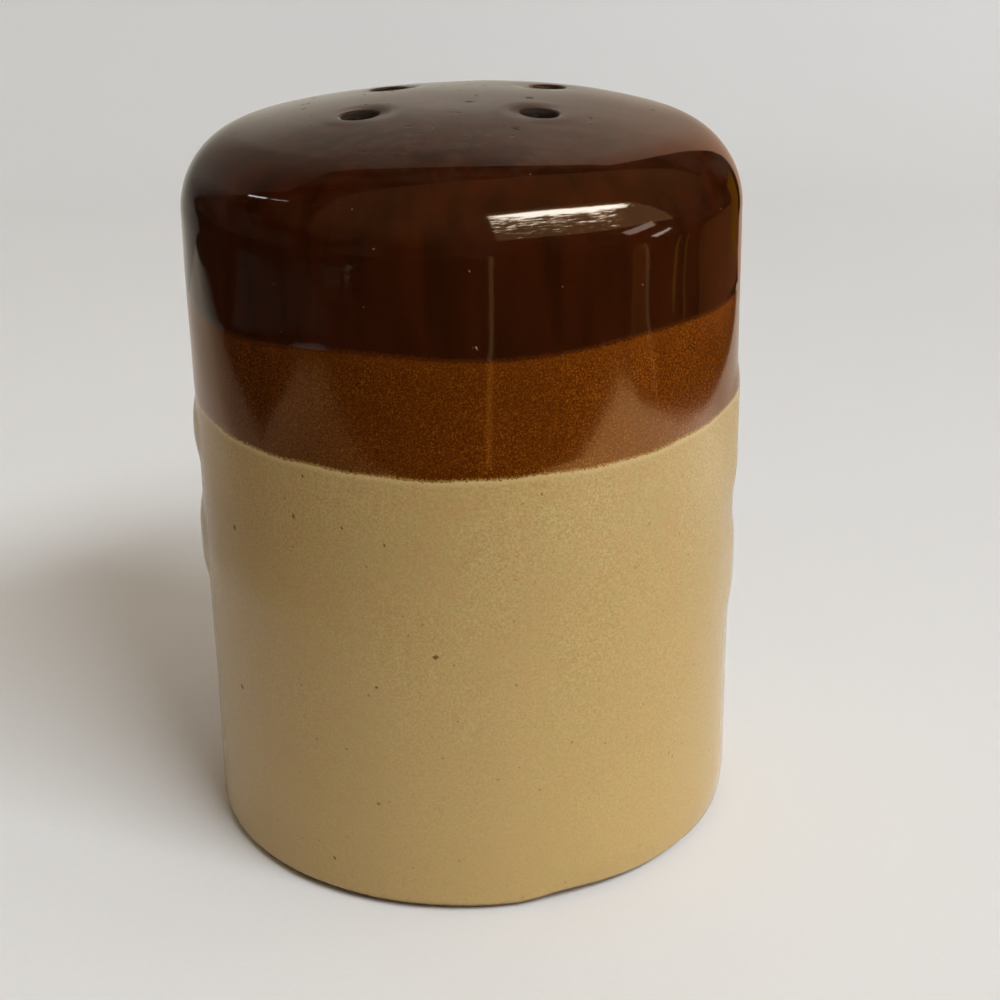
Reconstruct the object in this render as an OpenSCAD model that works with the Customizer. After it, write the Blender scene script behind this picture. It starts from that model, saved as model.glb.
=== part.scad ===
// Stoneware salt shaker: a slip-cast clay body under three dipped glazes,
// filled from below through a hole that a soft moulded stopper closes.
// Millimetres, +Z up, origin at the centre of the foot on the table.

/* [Body] */
// Outside diameter over the glaze
body_d = 66; // [62:0.5:74]
// Height from the table to the crown of the dome
body_h = 90; // [84:0.5:105]
// Radius of the shallow dome on top
dome_r = 108; // [90:1:130]
// Radius that rounds the shoulder into the dome
shoulder_r = 9.5; // [8.5:0.5:12]
// Thickness of the fired clay wall
wall_t = 4.5; // [3.5:0.1:5.5]

/* [Foot and base] */
// Radius that rounds the outer bottom edge
foot_round = 1.8; // [1.2:0.1:3]
// Width of the flat ring that stands on the table
foot_w = 3.6; // [2.5:0.1:4.5]
// Height of the hollow under the base
recess_h = 3.4; // [3:0.1:5]
// Thickness of the base around the filling hole
base_t = 5; // [4:0.1:7]
// Bore of the filling hole
fill_d = 24; // [20:0.5:27]

/* [Pour holes] */
// Number of pour holes on their circle
pour_count = 4; // [2:1:6]
// Width of a pour hole inside its glaze lining
pour_d = 3.6; // [2.5:0.1:4.2]
// Radius of the circle that the pour holes lie on
pour_circle_r = 13.2; // [10:0.1:15]
// Turn of the hole pattern about the axis, in degrees
pour_turn = 40; // [0:0.5:90]
// How far hand punching moves a hole along the circle, in degrees
pour_stray = 5; // [0:0.5:8]
// How far hand punching moves a hole in or out
pour_sway = 0.6; // [0:0.1:1]
// Width of the soft dip around each hole
dimple_d = 5.2; // [4.8:0.1:6.5]
// Depth of that dip
dimple_depth = 0.4; // [0.2:0.05:0.7]

/* [Left pads] */
// How far the two narrow pads on the left stand out from the wall
left_proud = 0.65; // [0.5:0.05:0.9]
// Radius of their rounded backs
left_pad_r = 11; // [9:0.5:13]
// Turn of the left pads from the right round the back, in degrees
left_turn = 186; // [180:1:190]
// Height of the middle of the lower left pad
left_low_z = 36.9; // [34:0.1:38]
// Length of the lower left pad between the centres of its round ends
left_low_run = 3.2; // [2:0.1:4]
// Height of the middle of the upper left pad
left_high_z = 51.1; // [50:0.1:52]
// Length of the upper left pad between the centres of its round ends
left_high_run = 0.5; // [0.2:0.1:2]

/* [Right pads] */
// How far the two broad pads on the right stand out from the wall
right_proud = 0.7; // [0.5:0.05:1]
// Radius of their rounded backs
right_pad_r = 18; // [14:0.5:20]
// Turn of the right pads from the right towards the back, in degrees
right_turn = -8; // [-20:1:0]
// Height of the middle of the lower right pad
right_low_z = 32.7; // [30:0.1:33]
// Length of the lower right pad between the centres of its round ends
right_low_run = 3.5; // [1:0.1:4]
// Height of the middle of the upper right pad
right_high_z = 50.3; // [50:0.1:52]
// Length of the upper right pad between the centres of its round ends
right_high_run = 8.3; // [5:0.1:9]

/* [Glaze] */
// Thickness of the fired glaze coats
glaze_t = 0.4; // [0.3:0.05:0.6]
// Height of the bare foot below the glaze
bare_foot_h = 0.5; // [0.4:0.1:2]
// Height of the line between buff and caramel, on the axis
caramel_line_z = 56.3; // [56:0.1:60]
// Lean of that line up towards the back, in degrees
caramel_line_lean = 2.9; // [0:0.1:4]
// Height of the line between caramel and brown, on the axis
brown_line_z = 68.5; // [66:0.1:72]
// Lean of that line up towards the back, in degrees
brown_line_lean = 0.8; // [0:0.1:3]
// Lean of that line up towards the right, in degrees
brown_line_list = 0.7; // [0:0.1:2]

/* [Stopper] */
// Diameter of the flange that lies under the base
flange_d = 32; // [30:0.5:36]
// Thickness of the flange
flange_t = 1.6; // [1.2:0.1:1.9]
// Height of the hollow plug above the flange
plug_h = 9; // [8:0.5:12]
// Wall of the hollow plug
plug_wall = 1.7; // [1.4:0.1:2.2]
// Radial gap between the sealing beads and the filling hole
seal_gap = 0.05; // [0.02:0.01:0.1]
// How far the sealing beads stand out from the plug
bead_proud = 0.35; // [0.2:0.05:0.5]
// Length of the grip bar under the flange
grip_l = 18; // [12:0.5:22]
// Width of the grip bar
grip_w = 3.2; // [2.4:0.1:4]

/* [Hidden] */
$fn = 96;
body_r = body_d / 2;
// The shoulder arc touches the dome arc and the straight wall, which fixes its centre
dome_z = body_h - dome_r;
shoulder_x = body_r - shoulder_r;
shoulder_z = dome_z + sqrt(pow(dome_r - shoulder_r, 2) - pow(shoulder_x, 2));
meet_angle = atan2(shoulder_z - dome_z, shoulder_x);
// Centre of the arc that rounds the bottom edge: the bare clay's arc ends on the table
foot_x = body_r - foot_round;
foot_z = foot_round - glaze_t;
recess_r = foot_x - foot_w;
recess_slope = 0.8;
base_top_z = recess_h + base_t;
cavity_round = 3;
fill_chamfer = 0.6;
dimple_r = (pow(dimple_d / 2, 2) + pow(dimple_depth, 2)) / (2 * dimple_depth);
pour_depth = 2 * shoulder_r;
// Turn, height, length, stand-out and back radius of every side pad
side_pads = [
    [left_turn, left_low_z, left_low_run, left_proud, left_pad_r],
    [left_turn, left_high_z, left_high_run, left_proud, left_pad_r],
    [right_turn, right_low_z, right_low_run, right_proud, right_pad_r],
    [right_turn, right_high_z, right_high_run, right_proud, right_pad_r]
];
beyond = 2 * body_h;
flange_gap = 0.1;
flange_z = recess_h - flange_gap - flange_t;
grip_h = 1;
grip_sink = 0.4;
bead_r = 0.9;
bead_outer_r = fill_d / 2 - seal_gap;
plug_r = bead_outer_r - bead_proud;
plug_top_z = flange_z + flange_t + plug_h;
plug_lead = 0.8;
bead_zs = [recess_h + 0.28 * base_t, recess_h + 0.72 * base_t];

// Sector of a circle of radius r about centre, from angle a to angle b, at most a quarter turn
module pie(centre, r, a, b) {
    reach = 2 * r;
    intersection() {
        translate(centre) circle(r);
        polygon([
            centre,
            centre + reach * [cos(a), sin(a)],
            centre + reach * [cos((a + b) / 2), sin((a + b) / 2)],
            centre + reach * [cos(b), sin(b)]
        ]);
    }
}

// Half section of the body's outside from height z up, set in from the glaze's surface.
// The shoulder's sector reaches a little into the wall and the dome, so that all three fuse.
module upper_section(inset, z) {
    reach = 2;
    top_z = body_h + shoulder_r;
    past = 2 * shoulder_r * [cos(meet_angle), sin(meet_angle)];
    translate([0, z]) square([body_r - inset, shoulder_z - z]);
    pie([shoulder_x, shoulder_z], shoulder_r - inset, -reach, meet_angle + reach);
    intersection() {
        translate([0, dome_z]) circle(dome_r - inset);
        polygon([[0, shoulder_z], [shoulder_x, shoulder_z], [shoulder_x, shoulder_z] + past, [0, top_z]]);
    }
}

// Solid body down to the rounded bottom edge, set in from the glaze's surface
module body_form(inset) {
    rotate_extrude() {
        upper_section(inset, foot_z);
        square([foot_x, foot_z]);
        pie([foot_x, foot_z], foot_round - inset, -90, 0);
    }
}

// Vertical tools for the pour holes and their soft dips, grown by the glaze's thickness
module pour_tools(grow) {
    for (i = [0 : pour_count - 1]) {
        turn = pour_turn + i * 360 / pour_count + pour_stray * sin(140 * i);
        r = pour_circle_r + pour_sway * cos(180 * i);
        top_z = dome_z + sqrt(pow(dome_r, 2) - pow(r, 2));
        rotate(turn)
            translate([r, 0, top_z]) {
                translate([0, 0, -pour_depth]) cylinder(h = pour_depth + shoulder_r, r = pour_d / 2 + grow);
                translate([0, 0, dimple_r - dimple_depth]) sphere(dimple_r + grow);
            }
    }
}

// Upright round-ended pads on the left and right of the body
module pads(grow) {
    for (pad = side_pads) {
        run = pad[2];
        r = pad[4];
        x = body_r - glaze_t + pad[3] - r;
        rotate(pad[0])
            translate([x, 0, pad[1]]) {
                cylinder(h = run, r = r + grow, center = true);
                for (end = [-1, 1])
                    translate([0, 0, end * run / 2]) sphere(r + grow);
            }
    }
}

// The salt chamber, with a rounded corner where its wall meets the base
module cavity() {
    inset = glaze_t + wall_t;
    corner = [body_r - inset - cavity_round, base_top_z + cavity_round];
    rotate_extrude() {
        upper_section(inset, corner.y);
        translate([0, base_top_z]) square([corner.x, cavity_round]);
        pie(corner, cavity_round, -90, 0);
    }
}

// The hollow under the base, its side leaning out towards the table
module recess() {
    rotate_extrude()
        polygon([
            [0, -1],
            [recess_r, -1],
            [recess_r, 0],
            [recess_r - recess_slope, recess_h],
            [0, recess_h]
        ]);
}

// The filling hole with a small chamfer at each end
module fill_hole() {
    r = fill_d / 2;
    rotate_extrude()
        polygon([
            [0, recess_h - 1],
            [r + fill_chamfer + 1, recess_h - 1],
            [r, recess_h + fill_chamfer],
            [r, base_top_z - fill_chamfer],
            [r + fill_chamfer + 1, base_top_z + 1],
            [0, base_top_z + 1]
        ]);
}

// Everything above a dip line: a glaze bath's surface, leaning with the way the pot was held
module above_line(z, lean, list) {
    translate([0, 0, z])
        rotate([lean, -list, 0])
            translate([-beyond / 2, -beyond / 2, 0]) cube(beyond);
}

// Slip-cast clay: wall, dome, base, foot ring and side pads in one fired piece
module clay_body() {
    color("tan")
        difference() {
            union() {
                body_form(glaze_t);
                pads(0);
            }
            cavity();
            recess();
            fill_hole();
            pour_tools(glaze_t);
        }
}

// Glaze of one thickness over the wall and the side pads
module wall_coat() {
    difference() {
        union() {
            body_form(0);
            pads(glaze_t);
        }
        body_form(glaze_t);
        pads(0);
    }
}

// Buff glaze over the lower body and the pads, ending above the bare foot
module buff_glaze() {
    color("burlywood")
        difference() {
            wall_coat();
            above_line(caramel_line_z, caramel_line_lean, 0);
            translate([0, 0, bare_foot_h - beyond]) cylinder(h = beyond, r = body_d);
        }
}

// Caramel glaze between the two dip lines, over the tops of the upper pads
module caramel_glaze() {
    color("saddlebrown")
        intersection() {
            difference() {
                wall_coat();
                above_line(brown_line_z, brown_line_lean, brown_line_list);
            }
            above_line(caramel_line_z, caramel_line_lean, 0);
        }
}

// Dark brown glaze over the dome and shoulder, lining the pour holes
module brown_glaze() {
    color("#3a1a0a")
        intersection() {
            difference() {
                body_form(0);
                pour_tools(0);
                difference() {
                    body_form(glaze_t);
                    pour_tools(glaze_t);
                }
                cavity();
            }
            above_line(brown_line_z, brown_line_lean, brown_line_list);
        }
}

// Soft stopper: flange with a grip bar below, and a hollow plug with two sealing beads
module stopper() {
    flange_r = flange_d / 2;
    flange_top_z = flange_z + flange_t;
    edge_z = flange_z + flange_t / 2;
    color("ivory") {
        rotate_extrude() {
            translate([0, flange_z]) square([flange_r - flange_t / 2, flange_t]);
            pie([flange_r - flange_t / 2, edge_z], flange_t / 2, -90, 0);
            pie([flange_r - flange_t / 2, edge_z], flange_t / 2, 0, 90);
            polygon([
                [plug_r - plug_wall, flange_z + flange_t / 2],
                [plug_r, flange_z + flange_t / 2],
                [plug_r, plug_top_z - plug_lead],
                [plug_r - plug_lead / 2, plug_top_z],
                [plug_r - plug_wall, plug_top_z]
            ]);
            for (z = bead_zs)
                translate([bead_outer_r - bead_r, z]) circle(bead_r);
        }
        translate([0, 0, flange_z - grip_h])
            linear_extrude(grip_h + grip_sink) {
                square([grip_l - grip_w, grip_w], center = true);
                for (end = [-1, 1])
                    translate([end * (grip_l - grip_w) / 2, 0]) circle(grip_w / 2);
            }
    }
}

clay_body();
buff_glaze();
caramel_glaze();
brown_glaze();
stopper();
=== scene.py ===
# %% [markdown]
# # A stoneware salt shaker under three glazes
# The real shaker is one hollow casting of stoneware clay. It was dipped into a buff glaze, then head
# first into a caramel one and once more, less deep, into a dark brown one. A soft stopper closes the
# filling hole in its base. The CAD solids give every piece its place and size. This lesson puts a fired,
# slightly uneven surface in the place of each solid and lights it on a pale table.

# %% Load the frame
import math

import bmesh
import bpy
import numpy as np
from mathutils import Matrix, Vector


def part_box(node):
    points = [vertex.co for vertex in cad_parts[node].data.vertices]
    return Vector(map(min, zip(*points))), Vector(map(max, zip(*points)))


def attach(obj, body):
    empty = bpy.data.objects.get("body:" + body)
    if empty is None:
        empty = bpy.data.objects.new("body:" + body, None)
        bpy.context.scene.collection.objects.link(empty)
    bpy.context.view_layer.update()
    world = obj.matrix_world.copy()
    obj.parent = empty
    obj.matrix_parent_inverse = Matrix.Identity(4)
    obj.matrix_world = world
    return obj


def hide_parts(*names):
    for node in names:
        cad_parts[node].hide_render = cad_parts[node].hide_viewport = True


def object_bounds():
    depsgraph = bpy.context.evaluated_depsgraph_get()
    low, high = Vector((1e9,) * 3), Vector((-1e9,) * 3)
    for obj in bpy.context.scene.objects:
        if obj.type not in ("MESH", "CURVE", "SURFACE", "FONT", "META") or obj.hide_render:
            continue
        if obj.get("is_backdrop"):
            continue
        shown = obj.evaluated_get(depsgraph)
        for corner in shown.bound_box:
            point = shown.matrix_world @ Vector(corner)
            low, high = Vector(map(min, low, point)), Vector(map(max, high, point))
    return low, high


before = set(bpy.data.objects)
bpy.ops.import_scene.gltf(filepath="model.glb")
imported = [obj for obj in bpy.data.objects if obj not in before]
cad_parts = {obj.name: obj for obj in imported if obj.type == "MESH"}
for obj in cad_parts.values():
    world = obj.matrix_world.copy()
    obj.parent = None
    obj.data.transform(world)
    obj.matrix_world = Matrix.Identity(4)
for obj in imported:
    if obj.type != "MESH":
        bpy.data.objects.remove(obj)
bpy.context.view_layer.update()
MM = 0.001

# %% [markdown]
# ## Sizes
# The outside radius and height come from the boxes of the CAD solids. Radii and thicknesses that no box
# tells are named here once, in millimetres, and every other place is worked out from them. The dome and
# the straight wall fix where the centre of the shoulder's arc must lie, so that all three run smoothly on.

# %% Sizes in millimetres
BODY_R = round(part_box("brown_glaze")[1].x / MM, 2)
BODY_H = round(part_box("brown_glaze")[1].z / MM, 2)
DOME_R = 108.0
SHOULDER_R = 9.5
FOOT_ROUND = 1.8
GLAZE_T = 0.4
WALL_T = 4.5
CAVITY_INSET = GLAZE_T + WALL_T

dome_z = BODY_H - DOME_R
shoulder_x = BODY_R - SHOULDER_R
shoulder_z = dome_z + math.sqrt((DOME_R - SHOULDER_R) ** 2 - shoulder_x**2)
meet_lean = math.asin(shoulder_x / (DOME_R - SHOULDER_R))
foot_x = BODY_R - FOOT_ROUND
foot_z = FOOT_ROUND - GLAZE_T

# Lengths along the half section, from the crown to the end of each stretch
dome_end = DOME_R * meet_lean
shoulder_end = dome_end + SHOULDER_R * (math.pi / 2 - meet_lean)
wall_end = shoulder_end + shoulder_z - foot_z
foot_end = wall_end + FOOT_ROUND * math.pi / 2
print(f"body {2 * BODY_R} mm across, {BODY_H} mm tall, section {foot_end:.1f} mm long")

# %% [markdown]
# ## The half section
# A body of revolution is one curve turned about an axis. The curve could be a list of points, but three
# arcs and a line say it exactly: the angle of the normal grows with the length along an arc, and the point
# is the arc's centre plus its radius times that normal. Setting the curve in by a thickness is then one
# subtraction, which gives the underside of the glaze and the inside of the wall as well.

# %% Half section
def section(s):
    """Radius, height and outward normal of the body's half section, s mm along it from the crown.
    On an arc the normal's lean is s over the radius and the point is centre + radius * normal."""
    s = np.asarray(s, float)
    where = [s < dome_end, s < shoulder_end, s < wall_end]
    level = np.full_like(s, math.pi / 2)
    lean = np.select(where, [s / DOME_R, meet_lean + (s - dome_end) / SHOULDER_R, level],
                     level + (s - wall_end) / FOOT_ROUND)
    out, up = np.sin(lean), np.cos(lean)
    r = np.select(where, [DOME_R * out, shoulder_x + SHOULDER_R * out, BODY_R + 0 * s],
                  foot_x + FOOT_ROUND * out)
    z = np.select(where, [dome_z + DOME_R * up, shoulder_z + SHOULDER_R * up, shoulder_z - s + shoulder_end],
                  foot_z + FOOT_ROUND * up)
    return r, z, out, up


def wall_length(z):
    """Length along the section at height z of the straight wall."""
    return shoulder_end + shoulder_z - z


heights = section([0, dome_end, shoulder_end, foot_end])[1]
print("heights of crown, shoulder, wall and foot, mm:", np.round(heights, 2))

# %% [markdown]
# ## What the kiln leaves uneven
# A cast and dipped pot is never a perfect solid of revolution, and glossy glaze shows every ripple in its
# reflections. Real geometry is used for this and not bump, so that the outline and the mesh have it too. Slow
# plane waves make the ripples, the wall is a little fuller on the right, low round-ended pads stand out on
# the two sides, and the foot is pulled up at the front right, where it leaves a thin dark gap.

# %% Unevenness of the fired surface
WAVE_COUNT = 12
RIPPLE = 0.011
RIPPLE_SINK = 0.08
rng = np.random.default_rng(7)
wave_ways = rng.normal(size=(WAVE_COUNT, 3))
wave_ways /= np.linalg.norm(wave_ways, axis=1, keepdims=True)
wave_lengths = rng.uniform(9.0, 26.0, WAVE_COUNT)
wave_phases = rng.uniform(0, 2 * math.pi, WAVE_COUNT)


def ease(value, start, end):
    """Smooth step from 0 at start to 1 at end: 3t squared minus 2t cubed."""
    t = np.clip((value - start) / (end - start), 0, 1)
    return t * t * (3 - 2 * t)


def ripple(x, y, z):
    """Ripple height: a sum of plane waves through space, sunk so that it stays inside the solid."""
    phase = np.stack([x, y, z], -1) @ (wave_ways.T / wave_lengths) * 2 * math.pi + wave_phases
    return RIPPLE * np.sin(phase).sum(-1) - RIPPLE_SINK


# Turn in degrees, then middle height, length, half width, length of a round end and stand-out in mm
SIDE_PADS = [(186, 36.9, 3.2, 5.0, 3.8, 0.56), (186, 51.1, 0.5, 5.0, 3.8, 0.56),
             (-8, 32.7, 3.5, 7.0, 4.0, 0.42), (-8, 50.3, 8.3, 7.0, 4.0, 0.42)]
PAD_EASE = 0.16


def pads(turn, z):
    """Height of the side pads: a parabola of the distance from each pad's upright middle line, in half
    widths, eased into the wall as half of (rise + root of (rise squared + ease squared))."""
    swell = 0
    for middle_turn, middle_z, run, half_width, end, proud in SIDE_PADS:
        across = 2 * BODY_R * np.sin((turn - math.radians(middle_turn)) / 2)
        past_end = np.maximum(np.abs(z - middle_z) - run / 2, 0)
        rise = proud * (1 - (across / half_width) ** 2 - (past_end / end) ** 2)
        swell = swell + (rise + np.sqrt(rise**2 + PAD_EASE**2)) / 2
    return swell


# Departures from round in mm, how far the middle of each is turned, and where each rises and fades: heights
# in mm on the wall, lengths from the crown on the dome
RIGHT_FULL, LEFT_HOLLOW, DOME_FULL = 0.26, 0.1, 0.3
SIDE_TURN, DOME_TURN = np.radians([9, 35])
RIGHT_FADES = (60, 72)
LEFT_RISES, LEFT_FADES = (8, 20), (30, 37)
DOME_RISES, DOME_FADES = (8, 20), (22, 33)


def fullness(s, turn, z, out):
    """Slow departure from round: fuller on the right wall and on the right of the dome, hollow low on the
    left. Each is an amount times an even power of the cosine of the turn away from its middle, and the wall's
    share fades with the outward part of the normal, so that the foot stays on the table."""
    right = np.maximum(np.cos(turn + SIDE_TURN), 0) ** 4 * (1 - ease(z, *RIGHT_FADES))
    left = np.maximum(-np.cos(turn - SIDE_TURN), 0) ** 4 * ease(z, *LEFT_RISES) * (1 - ease(z, *LEFT_FADES))
    dome = np.maximum(np.cos(turn - DOME_TURN), 0) ** 2 * ease(s, *DOME_RISES) * (1 - ease(s, *DOME_FADES))
    return (RIGHT_FULL * right - LEFT_HOLLOW * left) * out + DOME_FULL * dome


def polar(r, turn, z):
    """Points at a radius and angle round the axis and at a height."""
    return np.stack(np.broadcast_arrays(r * np.cos(turn), r * np.sin(turn), z), -1)


# Lift and pull of the foot and the height they fade over in mm, then turns from the front in degrees
FOOT_LIFT, FOOT_PULL, FOOT_FADE = 0.6, 0.35, 5.0
LIFT_RISES, LIFT_FALLS, PULL_RISES, BOTH_END = (8, 19), (18, 42), (8, 24), (70, 105)
LIFT_FALL = 0.75


def settle(r, turn, z):
    """Points at a radius, angle and height, with the foot pulled up and in over a stretch at the front right:
    an amount times a rise and a fall with the turn, fading with the height."""
    r, turn, z = np.broadcast_arrays(r, turn, z)
    front = np.degrees(np.arctan2(np.cos(turn), -np.sin(turn)))
    near = (1 - ease(z, 0, FOOT_FADE)) * (1 - ease(front, *BOTH_END))
    lift = ease(front, *LIFT_RISES) * (1 - LIFT_FALL * ease(front, *LIFT_FALLS))
    pull = ease(front, *PULL_RISES)
    return polar(r - FOOT_PULL * near * pull, turn, z + FOOT_LIFT * near * lift)


def skin(s, turn, inset=0.0):
    """Fired surface s mm down the section at an angle round the axis: the section's point, moved along its
    normal by ripples, fullness and pads less the inset. The inside of the wall is plain."""
    s, turn = np.broadcast_arrays(s, turn)
    r, z, out, up = section(s)
    rise = -inset
    if np.max(inset) <= GLAZE_T:
        ripples = ripple(r * np.cos(turn), r * np.sin(turn), z)
        rise = rise + ripples + fullness(s, turn, z, out) + pads(turn, z) * out
    return settle(r + rise * out, turn, z + rise * up)


print("ripple height over the wall, about", round(RIPPLE * math.sqrt(WAVE_COUNT / 2), 3), "mm")

# %% [markdown]
# ## From grids to meshes
# Every surface here is a grid of points, and patches of grid meet edge to edge. One function turns a list of
# patches into a mesh: it numbers the corners of every cell, welds points that coincide and drops the repeated
# corner of cells that touch a pole. It then measures the result: a sound closed piece has a positive volume
# and no open edge.

# %% Mesh from patches
# Points that agree to a ten thousandth of a millimetre are one point
WELD = 1e4
SHARP_ANGLE = math.radians(50)


def cells(rows, cols, wrap, flip):
    """Corner numbers of each cell of a grid, facing row direction x column direction."""
    ids = np.arange(rows * cols).reshape(rows, cols)
    ids = np.hstack([ids, ids[:, :1]]) if wrap else ids
    quads = np.stack([ids[:-1, :-1], ids[1:, :-1], ids[1:, 1:], ids[:-1, 1:]], -1).reshape(-1, 4)
    return quads[:, ::-1] if flip else quads


def build(name, patches):
    """Mesh object from patches, each a grid of points in mm with its wrap and flip."""
    quads, count = [], 0
    for grid, wrap, flip in patches:
        quads.append(cells(*grid.shape[:2], wrap, flip) + count)
        count += grid.shape[0] * grid.shape[1]
    points = np.concatenate([grid.reshape(-1, 3) for grid, wrap, flip in patches])
    keys = np.round(points * WELD).astype(np.int64)
    first, back = np.unique(keys, axis=0, return_index=True, return_inverse=True)[1:]
    quads = back.reshape(-1)[np.concatenate(quads)]
    repeated = quads == np.roll(quads, -1, axis=1)
    faces = quads[~repeated.any(1)].tolist()
    for corner in range(4):
        faces += np.delete(quads[repeated[:, corner] & (repeated.sum(1) == 1)], corner, axis=1).tolist()
    mesh = bpy.data.meshes.new(name)
    mesh.from_pydata(points[first] * MM, [], faces)
    mesh.polygons.foreach_set("use_smooth", np.ones(len(faces), bool))
    mesh.set_sharp_from_angle(angle=SHARP_ANGLE)
    piece = bpy.data.objects.new(name, mesh)
    bpy.context.scene.collection.objects.link(piece)
    return piece


def measure(piece):
    """Print a piece's triangles, volume and open edges."""
    bm = bmesh.new()
    bm.from_mesh(piece.data)
    triangles = sum(len(face.verts) - 2 for face in bm.faces)
    open_edges = sum(not edge.is_manifold for edge in bm.edges)
    print(f"{piece.name}: {triangles} triangles, {bm.calc_volume(signed=True) / MM**3 / 1000:.2f} cm3,"
          f" {open_edges} open edges")
    bm.free()


# %% [markdown]
# ## Dip lines
# A glaze edge is where the surface of the bath met the pot: a plane, leaning with the way the pot was held.
# The brown edge also crept in slow waves as it melted. Both edges lie on the straight wall, so a height for
# each angle says them fully, and neighbouring coats share one function and meet without a gap.

# %% Heights of the dip lines
QUARTER_CELLS = 72
quarter_turns = np.radians(40 + 90 * np.arange(4))
turns = quarter_turns[0] - math.pi / 4 + np.arange(4 * QUARTER_CELLS) * math.pi / 2 / QUARTER_CELLS

# Heights of the lines on the axis in mm, and how steeply each leans up to the back and the right
BROWN_Z, CARAMEL_Z = 68.5, 56.3
BROWN_BACK, BROWN_RIGHT, CARAMEL_BACK = np.tan(np.radians([0.8, 0.7, 2.9]))
WAVE_SHIFT = math.radians(21)


def brown_line(turn):
    """Height of the brown edge: a plane leaning up to the back and the right, with six slow waves."""
    front = turn + math.pi / 2
    waves = (0.36 - 0.12 * np.sin(front)) * np.cos(6 * (front + WAVE_SHIFT))
    return BROWN_Z + BODY_R * (BROWN_BACK * np.sin(turn) + BROWN_RIGHT * np.cos(turn)) + waves


def caramel_line(turn):
    """Height of the caramel edge: a plane leaning up to the back, with faint short waves."""
    waves = 0.1 * np.sin(9 * turn + 1) + 0.06 * np.sin(23 * turn)
    return CARAMEL_Z + BODY_R * CARAMEL_BACK * np.sin(turn) + waves


for title, line in [("brown", brown_line(turns)), ("caramel", caramel_line(turns))]:
    print(f"{title} edge between {line.min():.1f} and {line.max():.1f} mm")

# %% [markdown]
# ## Buff and caramel coats
# Each lower coat is a band of glaze 0.4 mm thick. A shell could come from a Solidify modifier, but here the
# underside is the same function with a larger inset, so the closed shell is one grid: down the outside, up
# the inside and back to its first row. The coats step down by a few hundredths of a millimetre at each dip
# line, as a thick glaze rolls over at its edge.

# %% Bands of glaze
# Step at each dip line and width of the rolled edge, then the same of the thin last film at the foot
BROWN_STEP = 0.02
CARAMEL_STEP = 0.02
ROLL = 1.0
FOOT_FILM, FOOT_ROLL = 0.04, 0.7
GLAZE_FOOT_Z = 0.5
EVEN_SHARE = 0.55
glaze_foot = wall_end + FOOT_ROUND * (math.acos((GLAZE_FOOT_Z - foot_z) / FOOT_ROUND) - math.pi / 2)


def spread(count):
    """Steps from 0 to 1, closer together at both ends: a share of t, the rest half of 1 - cos(pi t)."""
    t = np.linspace(0, 1, count)[:, None]
    return EVEN_SHARE * t + (1 - EVEN_SHARE) * (0.5 - 0.5 * np.cos(math.pi * t))


def band(top, bottom, rows, level, step, edge):
    """Closed ring of glaze between two lengths along the section: the outside sinks from level by step over
    the last stretch above its lower edge, which is that edge wide."""
    s = top + (bottom - top) * spread(rows)
    outside = skin(s, turns, level + step * (1 - ease(bottom - s, 0, edge)))
    inside = skin(s[::4], turns, GLAZE_T)
    return [(np.concatenate([outside, inside[::-1], outside[:1]]), True, False)]


brown_edge = wall_length(brown_line(turns))
caramel_edge = wall_length(caramel_line(turns))
foot_edge = glaze_foot + 0 * turns
buff_level = BROWN_STEP + CARAMEL_STEP
buff_step = GLAZE_T - buff_level - FOOT_FILM
caramel_coat = build("caramel_glaze_coat", band(brown_edge, caramel_edge, 29, BROWN_STEP, CARAMEL_STEP, ROLL))
buff_coat = build("buff_glaze_coat", band(caramel_edge, foot_edge, 97, buff_level, buff_step, FOOT_ROLL))
measure(caramel_coat)
measure(buff_coat)

# %% [markdown]
# ## The pierced dome
# The dome has four real holes. Cutting them with booleans would leave long thin triangles that glossy glaze
# shows as scratches. Instead each quarter of the dome is a frame of cells: its outer edge is the quarter's
# outline, its inner edge the hole's circle, and the rings between blend one into the other. The rings go on
# over a soft dip, whose rim leans a little less than the dome, and a rounded lip and down the hole, so glaze,
# clay and chamber all use this one function. The real holes were punched by hand, so each lies a little off
# its place on the circle.

# %% Quarter frames around the pour holes
SPOKE_CELLS, LIP_CELLS, CROWN_CELLS = 30, 6, 8
RING_CROWDING = 1.6
CAP_IN, CAP_OUT = 6.0, 20.0
POUR_R = 1.8
POUR_CIRCLE_R, POUR_SWAY, POUR_STRAY = 13.2, 0.6, 5.0
DIP, DIP_R = 0.06, 4.8
LEVEL = 0.25
LIP = 0.8

hole = np.arange(4)
hole_turns = quarter_turns + np.radians(POUR_STRAY * np.sin(np.radians(140 * hole)))
hole_circle = POUR_CIRCLE_R + POUR_SWAY * np.cos(math.pi * hole)
hole_places = np.stack([hole_circle * np.cos(hole_turns), hole_circle * np.sin(hole_turns)], -1)


def dome_point(x, y, inset):
    """Point of the dome over a spot in plan: its lean from the crown is the arcsine of the spot's distance
    over the dome's radius."""
    lean = np.arcsin(np.hypot(x, y) / (DOME_R - inset))
    return skin(DOME_R * lean, np.arctan2(y, x), inset)


def quarter_outline():
    """Outline of a quarter of the dome in plan, walked round its hole: inner arc, side, outer arc, side."""
    arc = np.linspace(-math.pi / 4, math.pi / 4, QUARTER_CELLS, endpoint=False)
    side = np.linspace(CAP_IN, CAP_OUT, SPOKE_CELLS, endpoint=False)
    near, far = np.full(QUARTER_CELLS, CAP_IN), np.full(QUARTER_CELLS, CAP_OUT)
    corner = np.full(SPOKE_CELLS, math.pi / 4)
    radius = np.concatenate([near, side, far, CAP_IN + CAP_OUT - side])
    return radius, np.concatenate([arc, corner, -arc, -corner])


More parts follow.
